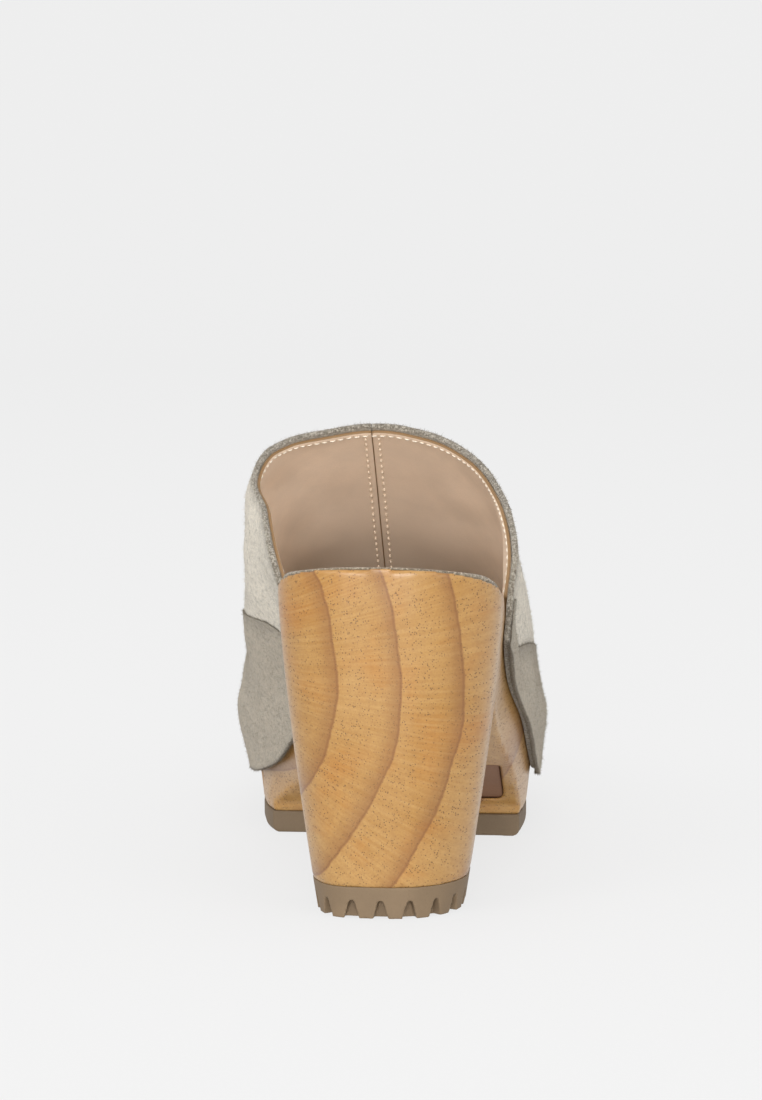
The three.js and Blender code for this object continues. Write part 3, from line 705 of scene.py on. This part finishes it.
def keepRest(piece):  # writes down where each point lies, for the finishes
    mesh = piece.data
    places = np.empty(len(mesh.vertices) * 3)
    mesh.vertices.foreach_get("co", places)
    places = (places.reshape(-1, 3) - np.array([originX, originY, 0])) / mm
    mesh.attributes.new("rest", "FLOAT_VECTOR", "POINT").data.foreach_set("vector", places.ravel())


def dress(piece, look, nodes=(), body=None):  # a piece with no body of its own has its place baked into its points
    piece.data.materials.clear()
    piece.data.materials.append(look)
    keepRest(piece)
    if body:
        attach(piece, body)
    else:
        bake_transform(piece)
    if nodes:
        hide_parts(*nodes)


# the leaf lies in a pocket of the underside, and the sole bends about its middle plane
leaf = {
    "back": 0.42 * length, "front": 0.73 * length, "thickness": 2.4, "width": 54, "x": -1,
    "depth": 4.4, "wall": 1.2,
}
hingeZ = under + leaf["depth"] + leaf["thickness"] / 2


# the carved wood
carving = {"voxel": 0.8, "rounds": 7, "landStep": 3, "filletCorner": 5, "fillet": 9}


def footbedHeight(x, y, lift=0.0):
    near = np.minimum(y, length - 8)
    half = np.maximum((edgeAt(1, y) - edgeAt(-1, near)) / 2, 12)
    centre = (edgeAt(1, near) + edgeAt(-1, near)) / 2
    cup = clog["footbedCup"] * smooth(y, 0, 30)
    return footbed(y) - cup * (1 - np.minimum(np.abs(x - centre) / half, 1) ** 2) + lift


def aboveFootbed():
    y, x = np.meshgrid(np.linspace(-6, length + 6, 150), np.linspace(-75, 75, 60), indexing="ij")
    low = np.stack([x, y, footbedHeight(x, y)], -1)
    high = np.stack([x, y, np.full_like(x, heelHeight + 60)], -1)
    rows, columns = x.shape
    count = rows * columns
    faces = gridFaces(rows, columns) + gridFaces(rows, columns, count, True)
    for j in range(columns - 1):
        faces += [(j, j + 1, count + j + 1, count + j)]
        a = (rows - 1) * columns + j
        faces += [(a + 1, a, count + a, count + a + 1)]
    for i in range(rows - 1):
        a = i * columns
        faces += [(a + columns, a, count + a, count + a + columns)]
        a += columns - 1
        faces += [(a, a + columns, count + a + columns, count + a)]
    piece = makeMesh("above", np.concatenate([low.reshape(-1, 3), high.reshape(-1, 3)]), faces, False)
    outward(piece)
    return piece


undersideEnd = 0.5 * length


def underside(y):
    arch = footbed(min(y, undersideEnd)) - clog["soleThickness"]
    if y <= undersideEnd:
        return float(arch)
    drop = under + carving["landStep"] - arch
    return float(arch + drop * (y - undersideEnd) / (treadStart - undersideEnd))


breast = clog["heelBackLean"] + clog["heelBaseLength"]


def belowSole():
    seat = clog["heelTread"] + clog["glue"]
    corner, fillet = breast + carving["filletCorner"], carving["fillet"]
    points = [(-20, -20), (-20, seat), (breast, seat), (corner - 1.2, underside(corner) - fillet),
              (corner + 0.25 * fillet, underside(corner) - 0.42 * fillet),
              (corner + fillet, underside(corner + fillet))]
    y = corner + fillet + 4
    while y < undersideEnd - 3:
        points.append((y, underside(y)))
        y += 4
    points += [(undersideEnd, underside(undersideEnd)), (treadStart, under + carving["landStep"]),
               (treadStart, under), (treadEnd, under)]
    toe = length - treadEnd
    points += [(treadEnd + s * toe, under + 9 * s**1.6) for s in np.linspace(0.1, 1, 10)]
    points += [(length + 20, under + 18), (length + 20, -20)]
    return prism("below", points)


def leafFace(y):
    return max(underside(min(y, treadStart)) + leaf["wall"], under + leaf["depth"])


def leafProfile(name, below, above, grow):
    between = list(np.arange(math.ceil(leaf["back"]) + 2, treadStart, 3))
    stations = [leaf["back"] - grow] + between + [leaf["front"] + grow]
    points = [(y, below(y)) for y in stations] + [(y, above(y)) for y in stations[::-1]]
    return prism(name, points, leaf["width"] / 2 + grow, leaf["x"])


def carveSole():
    levels = np.concatenate([[under - 2, 10], np.linspace(14, heelHeight + 6, 40)])
    blank = ringLoft("sole", [outlineRing(z) for z in levels])
    cut(blank, aboveFootbed())
    cut(blank, belowSole())
    gap, pocketEnd = clog["glue"], treadStart - 3.5
    cut(blank, leafProfile("slot", lambda y: leafFace(y) - gap,
                           lambda y: leafFace(y) + leaf["thickness"] + gap, gap))
    mouth = [(leaf["back"] - gap, underside(leaf["back"]) - 12), (pocketEnd - 3, underside(pocketEnd) - 12),
             (pocketEnd, leafFace(pocketEnd) + 0.5), (leaf["back"] - gap, leafFace(leaf["back"]) + 1)]
    cut(blank, prism("mouth", mouth, leaf["width"] / 2 + gap, leaf["x"]))
    return blank


def soften(piece, voxel, rounds):  # sands the carved edges round
    step = piece.modifiers.new("remesh", "REMESH")
    step.mode, step.voxel_size, step.use_smooth_shade = "VOXEL", voxel * mm, True
    step = piece.modifiers.new("sand", "SMOOTH")
    step.factor, step.iterations = 0.5, rounds
    applyModifiers(piece)
    piece.data.polygons.foreach_set("use_smooth", [True] * len(piece.data.polygons))


def copyOf(piece, name):
    twin = bpy.data.objects.new(name, piece.data.copy())
    bpy.context.scene.collection.objects.link(twin)
    return twin


def buildWood():
    sole = carveSole()
    lean = math.tan(math.radians(clog["kerfAngle"]))
    half, high = clog["kerf"] / 2, heelHeight
    opened = ball + half + lean * (high - hingeZ)
    front = copyOf(sole, "woodFront")
    sole.name = "woodRear"
    ahead = [(ball - half, -20), (length + 40, -20), (length + 40, 200), (ball - half, 200)]
    back = [(-40, -20), (ball + half, -20), (ball + half, hingeZ), (opened, high), (opened, 200), (-40, 200)]
    cut(sole, prism("ahead", ahead))
    cut(front, prism("back", back))
    for piece, body, node in ((sole, "rear_sole", "wood_rear"), (front, "fore_sole", "wood_front")):
        soften(piece, carving["voxel"], carving["rounds"])
        dress(piece, woodLook, [node], body)


buildWood()
print("wood carved")


# rubber treads
tread = {"notchDepth": 5.1, "notchWidth": 4.6, "pitch": 8, "reachUp": 0.5, "kerfHalf": 1.2}


def ringPath(ring):
    steps = np.linalg.norm(np.diff(ring, axis=0), axis=1)
    return np.concatenate([[0], np.cumsum(steps)])


def buildHeelTread():
    levels = np.linspace(0, clog["heelTread"] + tread["reachUp"], 8)
    rings = [outlineRing(z, stop=breast - 0.5) for z in levels]
    piece = ringLoft("heelRubber", rings)
    rim = rings[0][1:-1]
    walked = ringPath(rim)
    cuts = int(walked[-1] // tread["pitch"])
    for i in range(cuts + 1):
        at = walked[-1] / 2 + (i - cuts / 2) * tread["pitch"]
        if at < 0 or at > walked[-1]:
            continue
        point = np.array([np.interp(at, walked, rim[:, k]) for k in range(3)])
        ahead = np.array([np.interp(at + 0.5, walked, rim[:, k]) for k in range(3)])
        run = unit(ahead - point)
        side = np.array([run[1], -run[0], 0])
        wide, narrow = tread["notchWidth"] / 2, tread["notchWidth"] / 5.5
        deep = tread["notchDepth"]
        corners = [(-wide, -1), (wide, -1), (narrow, deep - 0.6), (narrow * 0.4, deep),
                   (-narrow * 0.4, deep), (-narrow, deep - 0.6)]
        points = [point + run * u + side * d + np.array([0, 0, v]) for d in (-3, 3) for u, v in corners]
        cut(piece, block("notch", points))
    soften(piece, voxel=0.3, rounds=3)
    dress(piece, heelRubberLook, ["heel_tread"], "rear_sole")


def buildFrontTread(name, node, body, start, stop):
    def ring(z, inward):
        base = outlineRing(under, inward, start, stop)
        base[:, 2] = z
        return base
    worn = [(0, 1.5), (0.35, 0.9), (0.9, 0.35), (1.8, 0)]
    line = [(2.6, 0), (2.7, 0.25), (2.95, 0.25), (3.05, 0)]
    profile = worn + line + [(clog["frontTread"] + tread["reachUp"], 0)]
    piece = ringLoft(name, [ring(z, inward) for z, inward in profile])
    soften(piece, voxel=0.5, rounds=2)
    dress(piece, frontRubberLook, [node], body)


buildHeelTread()
buildFrontTread("ballRubber", "ball_tread", "rear_sole", treadStart, ball - tread["kerfHalf"])
buildFrontTread("frontRubber", "front_tread", "fore_sole", ball + tread["kerfHalf"], treadEnd)
print("treads ready")


# the flexible leaf and the insole
def buildLeaf():
    piece = leafProfile("flexLeaf", leafFace, lambda y: leafFace(y) + leaf["thickness"], 0)
    soften(piece, voxel=0.6, rounds=2)
    dress(piece, leafLook, ["flex_leaf"])


insole = {"inward": 1.7, "tuck": 1.7, "rimTop": 0.45, "rise": 1.2, "rimUnder": -0.1, "underRise": 0.3}


def buildInsole():  # thinner at the heel's rim, and tucked in under the upper
    back = clog["seatRound"] * (1 - np.cos(np.linspace(0.12, np.pi / 2, 26)))
    toe = toeStart[1] + (length - toeStart[1]) * np.sin(np.linspace(0, np.pi / 2, 34))
    stations = np.concatenate([back, np.linspace(clog["seatRound"], toeStart[1], 90)[1:], toe[1:-1]])
    share = np.linspace(0, 1, 41)
    share = 0.5 - 0.5 * np.cos(np.pi * share)
    inward = insole["inward"] + insole["tuck"] * smooth(stations, upperBack - 8, upperBack)
    left = outlinePoint(-1, stations, inward, heelHeight + 5)
    right = outlinePoint(1, stations, inward, heelHeight + 5)
    flat = left[:, None, :] * (1 - share[None, :, None]) + right[:, None, :] * share[None, :, None]
    x, y = flat[..., 0], np.clip(flat[..., 1], 0, length)
    outer, inner = flat.copy(), flat.copy()
    outer[..., 2] = footbedHeight(x, y, insole["rimTop"] + insole["rise"] * smooth(y, 2, 16))
    inner[..., 2] = footbedHeight(x, y, insole["rimUnder"] + insole["underRise"] * smooth(y, 2, 16))
    piece = shell("insoleCover", outer, inner, False, 4)
    outward(piece)
    dress(piece, insoleLook, ["insole_cover"])


buildLeaf()
buildInsole()
print("leaf and insole ready")


# the suede upper
upper = {
    "rows": 170, "columns": 96, "panelColumns": 46, "crowding": 1.8, "seam": 0.4, "ripple": 0.16,
    "liningBack": 0.7, "panelShare": 0.75, "pared": 0.22, "panelLimit": 0.55,
}


def crowded(rows):  # shares of the way to the toe, closest together at the toe
    return 1 - (1 - np.linspace(0, 1, rows)) ** upper["crowding"]


def layerGrid(side, heights, depth, back=0.0):
    rows = upper["rows"]
    height = np.asarray(heights)[None, :].repeat(rows, 0)
    start = topline(height) + back
    y = start + (length - start) * crowded(rows)[:, None]
    return upperPoint(side, y, height, depth, upper["seam"])


def uneven(points, amount, scale, seed):  # small unevenness, as of hand work
    flat = points.reshape(-1, 3)
    shifts = np.array([noise.noise(Vector(p * scale + seed)) for p in flat]) * amount
    return shifts.reshape(points.shape[:-1])


def buildVamp(side, word):
    heights = np.concatenate([np.linspace(-0.88, -0.04, 18), np.linspace(0, 1, upper["columns"])])
    outer = layerGrid(side, heights, 0.0)
    inner = layerGrid(side, heights, clog["suede"])
    normal = unit(outer - inner)
    shift = uneven(outer, upper["ripple"], 0.12, 3.0 * side)[..., None] * normal
    piece = shell(f"vamp{word.capitalize()}", outer + shift, inner, side < 0, 5)
    outward(piece)
    dress(piece, vampLook, [f"vamp_{word}"])
    return outer + shift, normal


def buildLining(side, word):
    heights = np.linspace(0.05, 1, upper["columns"] - 10)
    top = clog["suede"] + clog["plyGap"]
    outer = layerGrid(side, heights, top, upper["liningBack"])
    inner = layerGrid(side, heights, top + clog["lining"], upper["liningBack"])
    piece = shell(f"lining{word.capitalize()}", outer, inner, side < 0, 3)
    outward(piece)
    dress(piece, liningLook, [f"lining_{word}"])


def panelHeight(side, y):  # how high up the arch the panel's cut line is at y
    heights = np.linspace(0, 0.6, 61)
    lifted = archPoint(side, *np.broadcast_arrays(y[:, None], heights))[..., 2]
    reached = [np.interp(line, lift, heights) for line, lift in zip(panelTop[side](y), lifted)]
    return np.minimum(reached, upper["panelLimit"])


def buildPanel(side, word):
    forward, across = crowded(upper["rows"]), np.linspace(0, 1, upper["panelColumns"])
    ends = upperBack + (length - upperBack) * forward
    for _ in range(5):  # the cut line and the topline depend on each other
        height = -1 + across[None, :] * (panelHeight(side, ends)[:, None] + 1)
        start = topline(height)
        y = start + (length - start) * forward[:, None]
        ends = y[:, -1]
    flat = (1 - smooth(across, 0.8, 1))[None, :] * smooth(np.arange(upper["rows"]), 0, 5)[:, None]
    pared = upper["pared"] + (1 - upper["pared"]) * flat
    outside = -upper["panelShare"] * clog["overlay"] * pared - clog["plyGap"]
    outer = upperPoint(side, y, height, outside, upper["seam"])
    inner = upperPoint(side, y, height, -clog["plyGap"], upper["seam"])
    normal = unit(outer - inner)
    outer = outer + uneven(outer, upper["ripple"] * 1.4, 0.14, 9.0 * side)[..., None] * normal
    piece = shell(f"panel{word.capitalize()}", outer, inner, side < 0, 5)
    outward(piece)
    dress(piece, panelLook, [f"overlay_{word}"])
    return outer, normal


sides = {-1: "medial", 1: "lateral"}
vampFaces = {side: buildVamp(side, word) for side, word in sides.items()}
for side, word in sides.items():
    buildLining(side, word)
panelFaces = {side: buildPanel(side, word) for side, word in sides.items()}
print("upper ready")


# stitches and raw edges
stitch = {
    "pitch": 2.45, "run": 1.8, "radius": 0.29, "bow": 0.22, "sunk": 0.05, "fromTopline": 2.3, "fromSeam": 2.0,
    "seamPitch": 3.4, "seamThick": 1.4, "toplineThick": 0.85, "points": 90,
}


def evenly(path, pitch):
    walked = ringPath(path)
    places = np.arange(pitch / 2, walked[-1], pitch)
    spots = np.stack([np.interp(places, walked, path[:, k]) for k in range(3)], -1)
    ahead = np.stack([np.interp(places + 0.4, walked, path[:, k]) for k in range(3)], -1)
    return spots, unit(ahead - spots), places / walked[-1]


# rows of (path, facing), where each stitch is a small bowed thread
def sewn(name, rows, look, pitch=stitch["pitch"], thick=1.0):
    vertices, faces = [], []
    around, rings = 7, 7
    for path, facing in rows:
        spots, runs, shares = evenly(path, pitch)
        for k, (spot, run) in enumerate(zip(spots, runs)):
            up = facing[min(int(shares[k] * (len(facing) - 1)), len(facing) - 1)]
            up = unit(up - run * (up @ run))
            wide = np.cross(run, up)
            start = len(vertices)
            for r in range(rings):
                t = r / (rings - 1) * 2 - 1
                lift = stitch["bow"] * (1 - t * t) - stitch["sunk"]
                middle = spot + run * t * stitch["run"] / 2 + up * lift
                girth = thick * stitch["radius"] * max(1 - abs(t) ** 4, 0.12) ** 0.5
                for a in range(around):
                    turn = 2 * math.pi * a / around
                    vertices.append(middle + girth * (math.cos(turn) * wide + 0.8 * math.sin(turn) * up))
            for r in range(rings - 1):
                for a in range(around):
                    b = (a + 1) % around
                    low = start + r * around
                    faces.append((low + a, low + b, low + around + b, low + around + a))
            faces.append(tuple(start + a for a in range(around))[::-1])
            faces.append(tuple(start + (rings - 1) * around + a for a in range(around)))
    piece = makeMesh(name, np.array(vertices), faces)
    outward(piece)
    dress(piece, look)


# hairs on each millimetre of cut edge and on each face, and how long they are in millimetres
hairs = {
    "topline": 40, "panel": 24, "edgeLength": 0.95,
    "vampNap": 9000, "panelNap": 7000, "napLength": 0.8, "thickness": 0.04,
}


def fibres(name, roots, leads, sizes, look):  # short bent hairs
    count = len(roots)
    leads = unit(leads)
    droop = dice.normal(0, 0.3, (count, 3)) * sizes[:, None]
    across = unit(np.cross(leads, dice.normal(0, 1, (count, 3)))) * hairs["thickness"]
    other = np.cross(leads, across)
    rings = []
    for share, girth in ((-0.15, 1.0), (0.5, 0.8), (1.0, 0.25)):
        middle = roots + leads * sizes[:, None] * share + droop * max(share, 0) ** 2
        rings += [middle + girth * across, middle - girth * 0.5 * across + girth * 0.87 * other,
                  middle - girth * 0.5 * across - girth * 0.87 * other]
    vertices = np.stack(rings, 1).reshape(-1, 3)
    hair = [(3 * r + a, 3 * r + (a + 1) % 3, 3 * r + 3 + (a + 1) % 3, 3 * r + 3 + a)
            for r in range(2) for a in range(3)]
    quads = (np.array(hair)[None] + 9 * np.arange(count)[:, None, None]).reshape(-1, 4)
    tips = (np.array([(6, 7, 8)])[None] + 9 * np.arange(count)[:, None, None]).reshape(-1, 3)
    piece = makeMesh(name, vertices, quads.tolist() + tips.tolist())
    dress(piece, look)


def fuzz(name, edges, look, perMillimetre, reachOut):  # hairs along cut edges
    roots, leads, sizes = [], [], []
    for path, out, spread in edges:
        walked = ringPath(path)
        count = int(walked[-1] * perMillimetre)
        at = dice.uniform(0, walked[-1], count)
        k = np.clip(np.searchsorted(walked, at), 0, len(path) - 1)
        root = np.stack([np.interp(at, walked, path[:, axis]) for axis in range(3)], -1)
        roots.append(root + spread[k] * dice.uniform(-0.5, 0.5, (count, 1)))
        leads.append(out[k] + dice.normal(0, 0.5, (count, 3)))
        sizes.append(reachOut * dice.uniform(0.3, 1, count) ** 1.5)
    fibres(name, np.concatenate(roots), np.concatenate(leads), np.concatenate(sizes), look)


def nap(name, faces, look, slot, count):  # hairs that lie over a whole face
    roots, leads, sizes = [], [], []
    for points, normal, clear in faces:
        columns = points.shape[1]
        corner = points[:-1, :-1]
        area = np.linalg.norm(np.cross(points[1:, :-1] - corner, points[:-1, 1:] - corner), axis=-1)
        area = area * clear[:-1, :-1]
        picked = dice.choice(area.size, count, p=(area / area.sum()).ravel())
        i, j = picked // (columns - 1), picked % (columns - 1)
        u, v = dice.uniform(0, 1, (2, count, 1))
        root = points[i, j] * (1 - u) * (1 - v) + points[i + 1, j] * u * (1 - v)
        roots.append(root + points[i, j + 1] * (1 - u) * v + points[i + 1, j + 1] * u * v)
        leads.append(normal[i, j] * 0.55 + dice.normal(0, 0.6, (count, 3)))
        sizes.append(hairs["napLength"] * dice.uniform(0.35, 1, count))
    fibres(name, np.concatenate(roots), np.concatenate(leads), np.concatenate(sizes), look)


def seamRow(side, start, stop, up, depth, faceDepth):  # a path beside the centre seam, and which way it faces
    y = np.linspace(start, stop, stitch["points"])
    up = up * np.ones_like(y)
    path = upperPoint(side, y, up, depth, upper["seam"])
    return path, upperPoint(side, y, up, faceDepth, upper["seam"]) - path


def buildStitches():
    deep = clog["suede"] + clog["plyGap"] + clog["lining"]
    toplineRows, seamRows, vampRows = [], [], []
    for side in (-1, 1):
        rise = np.linspace(0.06, 1, stitch["points"])
        y = topline(rise) + stitch["fromTopline"]
        path = upperPoint(side, y, rise, deep, upper["seam"])
        away = upperPoint(side, y, rise, deep + 1, upper["seam"]) - path
        toplineRows.append((path, unit(away)))
        path, away = seamRow(side, throat + 2.5, 0.9 * length, 1 - 0.052, deep, deep + 1)
        path[:, 0] = side * (side * apexX(path[:, 1]) + stitch["fromSeam"])
        seamRows.append((path, unit(away)))
        path, inside = seamRow(side, throat + 3, 0.93 * length, 0.958, 0, 1)
        vampRows.append((path, unit(-inside)))
    sewn("toplineStitches", toplineRows, paleThread, thick=stitch["toplineThick"])
    sewn("seamStitches", seamRows, tanThread, stitch["seamPitch"], stitch["seamThick"])
    sewn("vampStitches", vampRows, greyThread)


def edgeOf(edge, inside, face, thick, tilt):
    return edge - face * thick / 2, unit(edge - inside) + tilt * face, face * thick


def buildFuzz():
    edges = []
    for side in (-1, 1):
        outer, normal = vampFaces[side]
        edges.append(edgeOf(outer[0], outer[1], normal[0], clog["suede"], 0.25))
    fuzz("toplineFuzz", edges, rawLook, hairs["topline"], hairs["edgeLength"])
    edges = []
    for side in (-1, 1):
        outer, normal = panelFaces[side]
        edges.append(edgeOf(outer[:, -1], outer[:, -2], normal[:, -1], clog["overlay"], 0.3))
        edges.append(edgeOf(outer[:, 0], outer[:, 1], normal[:, 0], clog["overlay"], 0.3))
        edges.append(edgeOf(outer[0], outer[1], normal[0], clog["overlay"], 0.3))
    fuzz("panelFuzz", edges, rawLook, hairs["panel"], hairs["edgeLength"])
    vamps, panels = [], []
    for side in (-1, 1):
        points, normal = vampFaces[side]
        bare = panelTop[side](points[..., 1]) - 1 < points[..., 2]
        vamps.append((points, normal, bare.astype(float)))
        points, normal = panelFaces[side]
        panels.append((points, normal, np.ones(points.shape[:2])))
    nap("vampNap", vamps, vampLook, "vamp_suede", hairs["vampNap"])
    nap("panelNap", panels, panelLook, "panel_suede", hairs["panelNap"])


buildStitches()
buildFuzz()
print("stitches and raw edges ready")


# tacks, floor, light and the end
for name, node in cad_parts.items():
    if name.startswith("tack_"):
        node.data.materials.clear()
        node.data.materials.append(steelLook)
        edge = node.modifiers.new("edge", "BEVEL")
        edge.width, edge.segments, edge.limit_method = 0.15 * mm, 2, "ANGLE"


floor = {"half": 4000, "flat": 2200, "curve": 800, "top": 4000}
light = {
    "glow": 0.74, "sky": 0.85,
    "lamps": {
        "keyLight": {"place": (-1.3, -1.6, 1.7), "aim": (0, 0, 0.07), "width": 1.2, "watts": 14},
        "fillLight": {"place": (1.6, -1.4, 1.0), "aim": (0, 0, 0.07), "width": 1.4, "watts": 7},
        "topLight": {"place": (0, 0.4, 2.2), "aim": (0, 0, 0.05), "width": 1.6, "watts": 8},
        "frontLight": {"place": (0.05, -1.9, 0.55), "aim": (0, 0, 0.1), "width": 0.9, "watts": 26},
    },
}


def buildFloor():  # a sheet of white paper that curves up behind the shoe
    start, curveUp = floor["flat"], floor["curve"]
    profile = [(-floor["half"], 0), (start, 0)]
    profile += [(start + curveUp * math.sin(a), curveUp - curveUp * math.cos(a))
                for a in np.linspace(0.1, math.pi / 2, 12)]
    profile += [(start + curveUp, floor["top"])]
    points = [(x, y, z) for y, z in profile for x in (-floor["half"], floor["half"])]
    piece = makeMesh("paperFloor", points, gridFaces(len(profile), 2))
    outward(piece)
    paint = Paint("paper")
    grain = paint.noise(paint.node("ShaderNodeTexCoord", output="Object"), 900, 2)
    glow = paint.node("ShaderNodeEmission", None, {"Color": (1, 1, 1, 1), "Strength": light["glow"]})
    tone = paint.mix(grain, (0.1, 0.1, 0.1, 1), (0.12, 0.12, 0.12, 1))
    matte = paint.node("ShaderNodeBsdfDiffuse", None, {"Color": tone})
    both = paint.tree.nodes.new("ShaderNodeAddShader")
    paint.tree.links.new(glow.socket, both.inputs[0])
    paint.tree.links.new(matte.socket, both.inputs[1])
    paint.tree.links.new(both.outputs[0], paint.out.inputs[0])
    piece.data.materials.append(paint.material)


buildFloor()
placeCamera()
for name, lamp in light["lamps"].items():
    softLight(name, **lamp)
world = bpy.data.worlds.new("studio")
world.use_nodes = True
world.node_tree.nodes["Background"].inputs[0].default_value = (1, 1, 1, 1)
world.node_tree.nodes["Background"].inputs[1].default_value = light["sky"]
bpy.context.scene.world = world
bpy.context.scene.view_settings.view_transform = "Standard"

bpy.context.view_layer.update()
print("finished")
